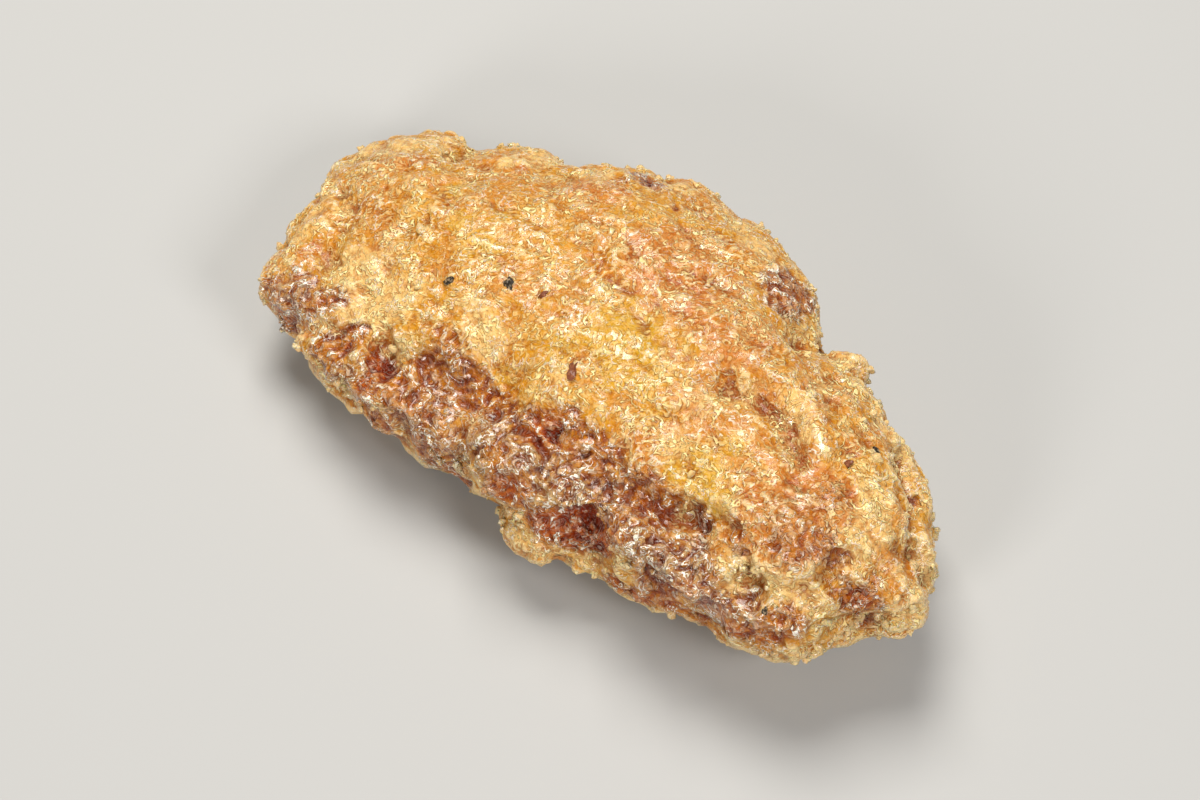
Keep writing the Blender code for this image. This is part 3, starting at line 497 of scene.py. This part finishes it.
def joined(parts, name):
    """One piece made of many, with its place and turn in its mesh."""
    bpy.ops.object.select_all(action="DESELECT")
    for part in parts:
        part.select_set(True)
    bpy.context.view_layer.objects.active = parts[0]
    bpy.ops.object.join()
    piece = bpy.context.active_object
    piece.name = name
    bpy.ops.object.transform_apply(location=True, rotation=True, scale=True)
    return piece


def finish_modifier(piece, kind, **settings):
    """Adds one modifier with its settings and applies it."""
    modifier = piece.modifiers.new(kind.lower(), kind)
    for key, value in settings.items():
        setattr(modifier, key, value)
    bpy.ops.object.modifier_apply(modifier=modifier.name)


def relief(name, kind, stops=(), **settings):
    """A texture that a Displace modifier reads. Stops turn its values into heights."""
    made = bpy.data.textures.new(name, kind)
    for key, value in settings.items():
        setattr(made, key, value)
    if stops:
        made.use_color_ramp = True
        points = made.color_ramp.elements
        for number, (place, height) in enumerate(stops):
            point = points[number] if number < 2 else points.new(place)
            point.position = place
            point.color = (height, height, height, 1.0)
    return made


def raise_relief(piece, made, strength, middle=0.5, region=""):
    finish_modifier(
        piece,
        "DISPLACE",
        texture=made,
        texture_coords="LOCAL",
        strength=strength,
        mid_level=middle,
        vertex_group=region,
    )


def points_of(piece):
    points = np.empty(len(piece.data.vertices) * 3, np.float32)
    piece.data.vertices.foreach_get("co", points)
    return points.reshape(-1, 3).astype(float)


def normals_of(piece):
    normals = np.empty(len(piece.data.vertices) * 3, np.float32)
    piece.data.vertices.foreach_get("normal", normals)
    return normals.reshape(-1, 3).astype(float)


def set_points(piece, points):
    piece.data.vertices.foreach_set("co", points.astype(np.float32).ravel())
    piece.data.update()


def keep_values(piece, name, values):
    """Stores one number for each point of a piece, which its material reads by name."""
    layer = piece.data.attributes.new(name, "FLOAT", "POINT")
    layer.data.foreach_set("value", np.asarray(values, np.float32))


def weigh(piece, name, weights):
    """A vertex group whose weights are given in steps of a twentieth."""
    group = piece.vertex_groups.new(name=name)
    steps = np.round(np.clip(weights, 0, 1) * 20).astype(int)
    for step in range(1, 21):
        members = np.nonzero(steps == step)[0].tolist()
        if members:
            group.add(members, step / 20, "REPLACE")
    return group.name


def drifted(points_mm, spacing, reach):
    """Points moved about smoothly, so that the spots laid out by them have uneven edges."""
    moved = points_mm.copy()
    for axis in range(3):
        shift = Vector((17.3 * axis, 4.1, 9.7))
        moved[:, axis] += reach * np.array(
            [noise.noise(Vector(point) / spacing + shift) for point in points_mm]
        )
    return moved


def spotted(points_mm, spots):
    """How much of a kind of spot covers each point, from 0 to 1."""
    bare = np.ones(len(points_mm))
    for *place, radius, strength in spots:
        away = np.linalg.norm(points_mm - np.array(place), axis=1) / radius
        near = np.clip((SPOT_REACH - away) / (SPOT_REACH - SPOT_CORE), 0, 1)
        bare *= 1 - strength * near**2 * (3 - 2 * near)
    return 1 - bare


def in_box(place, reach):
    """Whether all that lies within reach of a place is inside the solid's own box."""
    low, high = CAD_BOX
    return all(low[axis] <= place[axis] - reach and place[axis] + reach <= high[axis] for axis in range(3))


def keep_in_box(piece):
    """Presses in what the fine relief has pushed out of the solid's own box."""
    low, high = CAD_BOX
    points = points_of(piece)
    set_points(piece, np.clip(points, np.array(low), np.array(high)))


def settled(points, ends, rounds):
    """Points after each has moved to the middle of its neighbours a number of times."""
    count = np.bincount(ends[:, 0], minlength=len(points))
    for _ in range(rounds):
        middle = [np.bincount(ends[:, 0], points[ends[:, 1], axis], len(points)) for axis in range(3)]
        points = 0.5 * points + 0.5 * np.stack(middle, 1) / count[:, None]
    return points


def keep_relief(piece):
    """Stores how far each point stands out, in millimetres, from the crust close round it and further."""
    ends = np.empty(len(piece.data.edges) * 2, np.int32)
    piece.data.edges.foreach_get("vertices", ends)
    ends = ends.reshape(-1, 2)
    ends = np.concatenate([ends, ends[:, ::-1]])
    points, outward = points_of(piece), normals_of(piece)
    for name, rounds in (("fine", 8), ("deep", 80)):
        keep_values(piece, name, ((points - settled(points, ends, rounds)) * outward).sum(1) / MM)


def hand_over(piece, material):
    """Gives the piece its finish and puts it in the place of the solid."""
    piece.data.materials.append(material)
    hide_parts("chicken_wing")
    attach(piece, "root")


# Finishes


class Shade:
    """One socket of a material, so that its maths reads as Python."""

    def __init__(self, tree, socket):
        self.tree = tree
        self.socket = socket

    def math(self, operation, *others, clamp=False):
        node = self.tree.nodes.new("ShaderNodeMath")
        node.operation = operation
        node.use_clamp = clamp
        for place, value in enumerate((self, *others)):
            plug(self.tree, node.inputs[place], value)
        return Shade(self.tree, node.outputs[0])

    def __add__(self, other):
        return self.math("ADD", other)

    def __radd__(self, other):
        return self.math("ADD", other)

    def __sub__(self, other):
        return self.math("SUBTRACT", other)

    def __rsub__(self, other):
        return self.math("MULTIPLY_ADD", -1.0, other)

    def __mul__(self, other):
        return self.math("MULTIPLY", other)

    def __rmul__(self, other):
        return self.math("MULTIPLY", other)

    def __abs__(self):
        return self.math("ABSOLUTE")

    def clip(self):
        return self.math("ADD", 0.0, clamp=True)


def plug(tree, socket, value):
    """Links a socket to another one, or sets it to a plain value."""
    if isinstance(value, Shade):
        tree.links.new(value.socket, socket)
    else:
        socket.default_value = value


class Finish:
    """A material while it is being mixed, with one way to add any node to it."""

    def __init__(self, name):
        self.material = bpy.data.materials.new(name)
        self.material.use_nodes = True
        self.tree = self.material.node_tree
        self.shader = self.tree.nodes["Principled BSDF"]
        self.place = self.add("ShaderNodeTexCoord", {}, {}, "Object")

    def add(self, kind, settings, sockets, output=0):
        """A node of a kind: its settings are set first, then its sockets by name or number."""
        node = self.tree.nodes.new(kind)
        for key, value in settings.items():
            setattr(node, key, value)
        for key, value in sockets.items():
            plug(self.tree, node.inputs[key], value)
        return Shade(self.tree, node.outputs[output])

    def attribute(self, name):
        return self.add("ShaderNodeAttribute", {"attribute_name": name}, {}, "Fac")

    def noise(self, per_mm, detail=2.0, roughness=0.5, place=None, output="Fac"):
        """Smooth clouds, so many of them to a millimetre."""
        sockets = {
            "Vector": place or self.place,
            "Scale": per_mm / MM,
            "Detail": detail,
            "Roughness": roughness,
        }
        return self.add("ShaderNodeTexNoise", {}, sockets, output)

    def flowing(self, place, per_mm, reach_mm):
        """A place pushed about by a smooth field, so that what is drawn there runs in bundles."""
        field = self.noise(per_mm, detail=1.0, place=place, output="Color")
        centred = self.vector("SUBTRACT", {0: field, 1: (0.5, 0.5, 0.5)})
        pushed = self.vector("SCALE", {0: centred, "Scale": reach_mm * MM})
        return self.vector("ADD", {0: place, 1: pushed})

    def vector(self, operation, sockets):
        return self.add("ShaderNodeVectorMath", {"operation": operation}, sockets)

    def between(self, value, low, high):
        """Zero below low, one above high, and a smooth rise between. Low may be the higher number."""
        if low > high:
            return 1 - self.between(value, high, low)
        sockets = {"Value": value, "From Min": low, "From Max": high}
        return self.add("ShaderNodeMapRange", {"interpolation_type": "SMOOTHSTEP"}, sockets)

    def blend(self, share, first, second, kind="MIX"):
        """Two colours mixed, or one laid over the other."""
        sockets = {0: share, 6: first, 7: second}
        return self.add("ShaderNodeMix", {"data_type": "RGBA", "blend_type": kind}, sockets, 2)

    def bump(self, distance, height, strength=1.0):
        """A normal tilted by a height, which counts in the given distance."""
        sockets = {"Strength": strength, "Distance": distance, "Height": height}
        return self.add("ShaderNodeBump", {}, sockets, "Normal")

    def wire(self, **values):
        """Sets or links the shader's own sockets, named with _ for a space."""
        for key, value in values.items():
            plug(self.tree, self.shader.inputs[key.replace("_", " ")], value)
        return self.material


def threads(f, place, per_mm, width, level=0.5):
    """Thin winding lines, one where they run and zero between them."""
    field = f.noise(per_mm, detail=1.0, roughness=0.4, place=place)
    return f.between(abs(field - level), width, width * 0.25)


def skin_colour(f, colours, medium, grain):
    """The colour that the spots lay out, from pale batter to the darkest hollow."""

    def zone(name, low=0.15, high=0.60):
        spread = f.attribute(name) + (medium - 0.5) * 0.5 + (grain - 0.5) * 0.3
        return f.between(spread, low, high)

    large = f.noise(0.16, detail=3.0)
    soak = f.noise(0.55, detail=3.0, roughness=0.6)
    colour = f.blend(f.between(large, 0.42, 0.60) * 0.5, tuple(colours.golden), tuple(colours.orange))
    colour = f.blend(zone("yellow") * 0.8, colour, tuple(colours.yellow))
    colour = f.blend(zone("pale") * 0.85, colour, tuple(colours.pale))
    colour = f.blend(zone("orange") * 0.8, colour, tuple(colours.orange))
    soaked = f.blend(f.between(soak, 0.36, 0.64), tuple(colours.wet), SOAKED_BATTER)
    colour = f.blend(zone("wet", 0.05, 0.95) * 0.85, colour, soaked)
    colour = f.blend(zone("amber", 0.10, 0.75) * 0.85, colour, tuple(colours.amber))
    colour = f.blend(zone("burnt", 0.10, 0.75) * 0.85, colour, tuple(colours.burnt))
    # The amber and dark zones are partly the skin's own colour and partly painted shade in creases and
    # recesses.
    colour = f.blend(zone("dark", 0.0, 0.55) * 0.75, colour, tuple(colours.amber))
    return f.blend(zone("dark", 0.35, 1.15) * 0.95, colour, tuple(colours.dark))


def shaded(f, colour, grain, flow, wetness, glazed):
    """The colour with painted shade: darker in the hollows, in the pits and in the gaps between clots of
    batter.
    """
    # Painted shade: darker in the broad hollows, in the small pits, and in the gaps between clots.
    low = f.between(f.attribute("deep") + (grain - 0.5) * 0.08, 0.0, -0.40)
    colour = f.blend(low * 0.8, colour, HOLLOW_SHADE, "MULTIPLY")
    pits = f.between(f.attribute("fine"), 0.0, -0.07) * (0.55 + wetness * 0.3)
    colour = f.blend(pits, colour, PIT_SHADE, "MULTIPLY")
    gaps = f.between(f.noise(1.25, detail=3.0, roughness=0.65, place=flow), 0.47, 0.60)
    gaps = (gaps * (0.25 + wetness * 0.7 + f.attribute("pale") * 0.3) * (1 - glazed * 0.5)).clip()
    return f.blend(gaps, colour, GAP_SHADE, "MULTIPLY")


def wrinkled_lines(f, flow):
    """Short winding strokes of batter, which carry a painted highlight, the darker rims round them, which
    are painted shade, and threads between them.
    """
    ripple = (f.noise(0.58, detail=2.0, roughness=0.5, place=flow) * 37).math("SINE")
    broken = f.between(f.noise(1.5, detail=2.0, roughness=0.5), 0.42, 0.51)
    curl = f.between(ripple, 0.25, 0.75) * (broken * 0.85 + 0.15)
    rim = (f.between(ripple, -0.45, 0.0) - f.between(ripple, 0.0, 0.30)) * (broken * 0.6 + 0.4)
    return curl, rim, threads(f, flow, 1.9, 0.090, 0.53)


def crust_finish(colours):
    """Fried skin and batter: zones of colour, painted shade in the hollows and creases, pale strokes and
    crest clusters with painted highlights, amber creases and a film of oil.
    """
    f = Finish("fried_crust")
    fine = f.attribute("fine")
    medium = f.noise(0.75, detail=3.0, roughness=0.6)
    grain = f.noise(2.6, detail=3.0, roughness=0.65)
    flow = f.flowing(f.flowing(f.place, 0.22, 2.5), 1.1, 0.7)
    battered = f.between(f.noise(0.34, detail=3.0, roughness=0.6), 0.44, 0.60)
    shown = battered * 0.65 + 0.35
    glazed = (f.attribute("amber") + f.attribute("dark")).clip()
    fleshy = f.attribute("wet") + f.attribute("amber") + f.attribute("dark") + f.attribute("burnt")
    wetness = f.between(fleshy, 0.2, 0.9)
    colour = skin_colour(f, colours, medium, grain)
    colour = shaded(f, colour, grain, flow, wetness, glazed)
    colour = f.blend(battered * (1 - wetness) * 0.2, colour, MILKY_BATTER)

    curl, rim, hair = wrinkled_lines(f, flow)
    # Painted shade in the grooves beside the strokes.
    colour = f.blend(rim * shown * 0.9, colour, RIM_SHADE, "MULTIPLY")
    # The strokes: pale batter with a painted highlight on the crown, and painted glints on the wet flank.
    stroke_and_glint = (curl * 0.85 + hair * 0.3).clip() * shown * (1 - glazed * 0.4)
    stroke_glint_colour = f.blend(wetness, PALE_STROKE_AND_GLINT, WET_STROKE_GLINT)
    colour = f.blend(stroke_and_glint * (0.9 - wetness * 0.4), colour, stroke_glint_colour)

    # Painted glints: small pale dots in clusters on the crests, more of them on the wet flank.
    crest_glints = f.between((f.noise(1.0, detail=2.0, roughness=0.5, place=flow) * 30).math("SINE"), 0.50, 0.90)
    clusters = f.between(f.noise(0.42, detail=2.0, roughness=0.5), 0.43, 0.55) * 0.8 + 0.2
    crests = f.between(fine + (medium - 0.5) * 0.16, -0.02, 0.04) * clusters
    crest_glints = (crest_glints * crests * (0.60 + wetness * 0.90 - glazed * 0.5)).clip()
    colour = f.blend(crest_glints, colour, CREST_GLINT)
    # Paler on the raised tops: pale batter, and partly a painted highlight.
    high = f.between(fine + (grain - 0.5) * 0.04, 0.02, 0.10)
    colour = f.blend(high * 0.45 * (1 - wetness * 0.7), colour, RAISED_TOP_AND_HIGHLIGHT)

    rough = 0.34 + (grain - 0.5) * 0.14 - stroke_and_glint * 0.20 - wetness * 0.18
    height = curl * shown * 0.20 - rim * shown * 0.06 + crest_glints * 0.12 + medium * 0.4 + grain * 0.10
    oil = 0.16 + (stroke_and_glint + crest_glints) * 0.55 + wetness * 0.35 - f.attribute("dark") * 0.5
    f.shader.inputs["Specular IOR Level"].default_value = 0.15
    f.shader.inputs["Subsurface Weight"].default_value = 0.16
    f.shader.inputs["Subsurface Radius"].default_value = (1.0, 0.45, 0.2)
    f.shader.inputs["Subsurface Scale"].default_value = 1.0 * MM
    f.shader.inputs["Coat Roughness"].default_value = 0.12
    return f.wire(
        Base_Color=colour,
        Roughness=rough.clip(),
        Normal=f.bump(MM, height * (1.2 + wetness * 0.6)),
        Coat_Weight=oil.clip(),
    )


def pepper_finish(name, main, fleck_glint):
    """Dull cracked pepper, with a paler painted glint in patches of its grain."""
    f = Finish(name)
    grain = f.noise(3.0, detail=3.0, roughness=0.7)
    colour = f.blend(f.between(grain, 0.50, 0.66), main, fleck_glint)
    bump = f.bump(0.1 * MM, grain, strength=0.8)
    f.shader.inputs["Specular IOR Level"].default_value = 0.25
    f.shader.inputs["Coat Weight"].default_value = 0.2
    f.shader.inputs["Coat Roughness"].default_value = 0.12
    return f.wire(Base_Color=colour, Roughness=0.4 + grain * 0.3, Normal=bump)


# Pieces


def keep_zones(piece):
    """Stores how much of each kind of spot covers each point of a piece. Returns them by kind."""
    moved = drifted(points_of(piece) / MM, 2.0, 0.8)
    zones = {name: spotted(moved, spots) for name, spots in SPOTS.items()}
    for name, values in zones.items():
        keep_values(piece, name, values)
    return zones


class WING_OT_crust(bpy.types.Operator):
    """Make the fried crust from a fine copy of the solid"""

    bl_idname = "wing.crust"
    bl_label = "Fried Crust"

    def execute(self, context):
        sizes = context.scene.wing_sizes
        solid = copy_of_solid("rounded_solid")
        finish_modifier(solid, "SUBSURF", levels=2, render_levels=2)
        piece = copy_of_solid("fried_crust")
        finish_modifier(piece, "SUBSURF", levels=1, render_levels=1)
        finish_modifier(piece, "REMESH", mode="VOXEL", voxel_size=sizes.grid, use_smooth_shade=True)
        self.refine(piece, sizes.shown_from)
        finish_modifier(piece, "SMOOTH", factor=0.5, iterations=6)
        finish_modifier(piece, "SHRINKWRAP", target=solid, wrap_method="NEAREST_SURFACEPOINT")
        finish_modifier(piece, "SMOOTH", factor=0.5, iterations=1)
        bpy.data.objects.remove(solid)
        self.raise_crust(piece, sizes, keep_zones(piece))
        bpy.ops.object.shade_smooth()
        hand_over(piece, crust_finish(context.scene.wing_colours))
        return {"FINISHED"}

    def refine(self, piece, shown_from):
        """Cuts the edges in three of every face that shows from above or from the sides."""
        bpy.ops.object.mode_set(mode="EDIT")
        bpy.ops.mesh.select_mode(type="FACE")
        bpy.ops.mesh.select_all(action="DESELECT")
        bpy.ops.object.mode_set(mode="OBJECT")
        for face in piece.data.polygons:
            face.select = face.center.z > shown_from and face.normal.z > OVERHANG
        bpy.ops.object.mode_set(mode="EDIT")
        bpy.ops.mesh.subdivide(number_cuts=2)
        bpy.ops.object.mode_set(mode="OBJECT")

    def raise_crust(self, piece, sizes, zones):
        """Folds, curds, lumps and wrinkles, each over the parts of the wing that have it."""
        steep = 1 - np.clip((normals_of(piece)[:, 2] - 0.45) / 0.4, 0, 1)
        fleshy = np.maximum.reduce([zones[name] for name in ("wet", "burnt", "dark", "amber")])
        curded = weigh(piece, "curded", (0.1 + 0.55 * steep + 0.35 * zones["pale"]) * (1 - 0.7 * fleshy))
        lumpy = weigh(piece, "lumpy", 0.2 + 0.8 * steep)
        fleshy = weigh(piece, "fleshy", fleshy)
        spread = drifted(points_of(piece) / MM, 2.5, 1.0)
        patches = np.array([noise.noise(Vector(point) / 3.0) for point in spread])
        wrinkled = weigh(piece, "wrinkled", np.clip(0.35 + 1.6 * patches, 0.08, 1))
        self.fold_skin(piece, sizes, (1 - steep) * np.clip(0.45 + 1.2 * patches, 0, 1))
        curds = relief("curds", "VORONOI", noise_scale=2.3 * MM, distance_metric="DISTANCE")
        raise_relief(piece, curds, -sizes.curd_height, 0.45, curded)
        lumps = relief("lumps", "CLOUDS", noise_scale=3.4 * MM, noise_depth=1)
        raise_relief(piece, lumps, sizes.lump_height, 0.5, lumpy)
        flesh = relief("flesh", "DISTORTED_NOISE", noise_scale=2.3 * MM, distortion=1.0)
        raise_relief(piece, flesh, sizes.flesh_height, 0.5, fleshy)
        swells = relief("swells", "CLOUDS", noise_scale=2.2 * MM, noise_depth=1)
        raise_relief(piece, swells, sizes.swell_height)
        wrinkles = relief(
            "wrinkles",
            "CLOUDS",
            noise_scale=1.5 * MM,
            noise_depth=1,
            stops=((0.0, 0.0), (1.0, 0.0), (0.40, 0.0), (0.5, 1.0), (0.60, 0.0)),
        )
        raise_relief(piece, wrinkles, sizes.wrinkle_height, 0.3, wrinkled)
        fine = relief("fine_grain", "CLOUDS", noise_scale=0.7 * MM, noise_depth=1)
        raise_relief(piece, fine, sizes.grain_height)
        keep_in_box(piece)
        keep_relief(piece)

    def fold_skin(self, piece, sizes, shown):
        """Long swaying folds of skin along the wing, as high as they are shown at each point."""
        points_mm = points_of(piece) / MM
        swayed = drifted(points_mm, 8.0, 2.5)
        across = swayed[:, 1] + 0.15 * swayed[:, 0]
        folds = np.sin(across * 2 * math.pi / sizes.fold_spacing * MM) * shown * sizes.fold_height
        set_points(piece, points_mm * MM + normals_of(piece) * folds[:, None])


class WING_OT_crumbs(bpy.types.Operator):
    """Strew crumbs of batter over the rims and the flank"""

    bl_idname = "wing.crumbs"
    bl_label = "Crumbs"

    def execute(self, context):
        sizes = context.scene.wing_sizes
        crust = bpy.data.objects["fried_crust"]
        draw = random.Random(7)
        faces = crust.data.polygons
        made = []
        while len(made) < sizes.crumb_count:
            face = faces[draw.randrange(len(faces))]
            centre, normal = face.center, face.normal
            # The steeper the crust, the likelier a crumb.
            rim = max(0.0, 0.9 - max(0.0, normal.z))
            if centre.z < CRUMB_FLOOR or draw.random() > 1.1 * rim**2:
                continue
            radius = sizes.crumb_size * draw.uniform(0.4, 1.0) ** 1.5
            place = centre + normal * CRUMB_STANDING * radius
            if in_box(place, CRUMB_REACH * radius):
                made.append(self.crumb(place, radius, draw))
        piece = joined(made, "batter_crumbs")
        keep_relief(piece)
        keep_zones(piece)
        bpy.ops.object.shade_smooth()
        hand_over(piece, bpy.data.materials["fried_crust"])
        return {"FINISHED"}

    def crumb(self, place, radius, draw):
        """One uneven lump, stretched and turned by chance."""
        bpy.ops.mesh.primitive_ico_sphere_add(subdivisions=2, radius=radius, location=place)
        crumb = bpy.context.active_object
        shift = Vector((draw.uniform(0, 90), draw.uniform(0, 90), draw.uniform(0, 90)))
        stretch = Vector((draw.uniform(0.8, 1.5), draw.uniform(0.7, 1.1), draw.uniform(0.6, 1.0)))
        for vert in crumb.data.vertices:
            uneven = 1 + 0.55 * noise.noise(vert.co / radius * 1.3 + shift)
            vert.co = Vector((a * b for a, b in zip(vert.co, stretch))) * uneven
        crumb.rotation_euler = (draw.uniform(0, 6), draw.uniform(0, 6), draw.uniform(0, 6))
        return crumb


class WING_OT_pepper(bpy.types.Operator):
    """Press flecks of cracked pepper into the crust"""

    bl_idname = "wing.pepper"
    bl_label = "Cracked Pepper"

    def execute(self, context):
        black = pepper_finish("black_pepper", *BLACK_PEPPER)
        brown = pepper_finish("brown_pepper", *BROWN_PEPPER)
        crust = bpy.data.objects["fried_crust"]
        tree = BVHTree.FromObject(crust, context.evaluated_depsgraph_get())
        for tone, finish in (("black", black), ("brown", brown)):
            made = []
            for number, (place, length, width, turn, kind) in enumerate(PEPPER):
                if kind == tone:
                    made.append(self.fleck(tree, place, (length, width), turn, number))
            hand_over(joined(made, f"{tone}_pepper"), finish)
        return {"FINISHED"}

    def fleck(self, tree, place, halves_mm, turn, number):
        """A cracked bit with flat sides, lying in the crust under its place."""
        above = Vector((place[0] * MM, place[1] * MM, ABOVE_ALL))
        spot, normal, _, _ = tree.ray_cast(above, Vector((0, 0, -1)))
        bpy.ops.mesh.primitive_ico_sphere_add(subdivisions=2, radius=1.0, location=spot)
        fleck = bpy.context.active_object
        length, width = halves_mm
        shift = Vector((3.7 * number, 1.9, 8.8))
        for vert in fleck.data.vertices:
            uneven = (0.85 + 0.45 * noise.cell(vert.co * 1.4 + shift)) * MM
            vert.co = Vector((vert.co.x * length, vert.co.y * width, vert.co.z * 0.42)) * uneven
        lying = normal.to_track_quat("Z", "Y") @ Quaternion((0, 0, 1), math.radians(turn))
        fleck.rotation_euler = lying.to_euler()
        return fleck


class WING_OT_stage(bpy.types.Operator):
    """Set the floor, the lights and the camera"""

    bl_idname = "wing.stage"
    bl_label = "Floor, Lights and Camera"

    def execute(self, context):
        stage = context.scene.wing_stage
        low, high = CAD_BOX
        self.floor(stage)
        self.lights()
        a, e = stage.azimuth, stage.elevation
        back = Vector((math.sin(a) * math.cos(e), -math.cos(a) * math.cos(e), math.sin(e)))
        aim = Vector(AIM_MM) * MM
        bpy.ops.object.camera_add(location=aim + back * stage.distance)
        camera = bpy.context.active_object
        camera.rotation_euler = back.to_track_quat("Z", "Y").to_euler()
        camera.data.lens = stage.lens
        camera.data.clip_start = 0.01
        context.scene.camera = camera
        context.scene.view_settings.view_transform = "Standard"
        world = bpy.data.worlds.new("studio")
        context.scene.world = world
        world.use_nodes = True
        world.node_tree.nodes["Background"].inputs["Color"].default_value = ROOM_COLOUR
        world.node_tree.nodes["Background"].inputs["Strength"].default_value = ROOM_STRENGTH
        return {"FINISHED"}

    def floor(self, stage):
        bpy.ops.mesh.primitive_plane_add(size=6.0, location=(0, 0, 0))
        floor = bpy.context.active_object
        floor.name = "floor"
        f = Finish("pale_floor")
        shade = f.noise(0.004, detail=2.0)
        colour = f.blend(shade * 0.08, tuple(stage.floor_colour), FLOOR_CLOUDS)
        floor.data.materials.append(f.wire(Base_Color=colour, Roughness=0.75))

    def lights(self):
        """A broad key light behind on the left, and two smaller ones on the near side and at the right."""
        for name, place, size, power, tint in LIGHTS:
            bpy.ops.object.light_add(type="AREA", location=place)
            light = bpy.context.active_object
            light.name = name
            light.data.size = size
            light.data.energy = power
            light.data.color = tint
            light.rotation_euler = Vector(place).to_track_quat("Z", "Y").to_euler()


class WING_PT_panel(bpy.types.Panel):
    bl_label = "Fried Chicken Wing"
    bl_space_type = "VIEW_3D"
    bl_region_type = "UI"
    bl_category = "Wing"

    def draw(self, context):
        for group in ("wing_sizes", "wing_colours", "wing_stage"):
            settings = getattr(context.scene, group)
            for name in settings.bl_rna.properties.keys():
                if name not in ("rna_type", "name"):
                    self.layout.prop(settings, name)
        for operator in (WING_OT_crust, WING_OT_crumbs, WING_OT_pepper, WING_OT_stage):
            self.layout.operator(operator.bl_idname)


CLASSES = (
    WingSizes,
    WingColours,
    WingStage,
    WING_OT_crust,
    WING_OT_crumbs,
    WING_OT_pepper,
    WING_OT_stage,
    WING_PT_panel,
)


def register():
    for made in CLASSES:
        bpy.utils.register_class(made)
    bpy.types.Scene.wing_sizes = bpy.props.PointerProperty(type=WingSizes)
    bpy.types.Scene.wing_colours = bpy.props.PointerProperty(type=WingColours)
    bpy.types.Scene.wing_stage = bpy.props.PointerProperty(type=WingStage)


def unregister():
    del bpy.types.Scene.wing_stage
    del bpy.types.Scene.wing_colours
    del bpy.types.Scene.wing_sizes
    for made in reversed(CLASSES):
        bpy.utils.unregister_class(made)


def main():
    register()
    bpy.ops.wing.crust()
    bpy.ops.wing.crumbs()
    bpy.ops.wing.pepper()
    bpy.ops.wing.stage()
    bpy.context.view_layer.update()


if __name__ == "__main__":
    main()
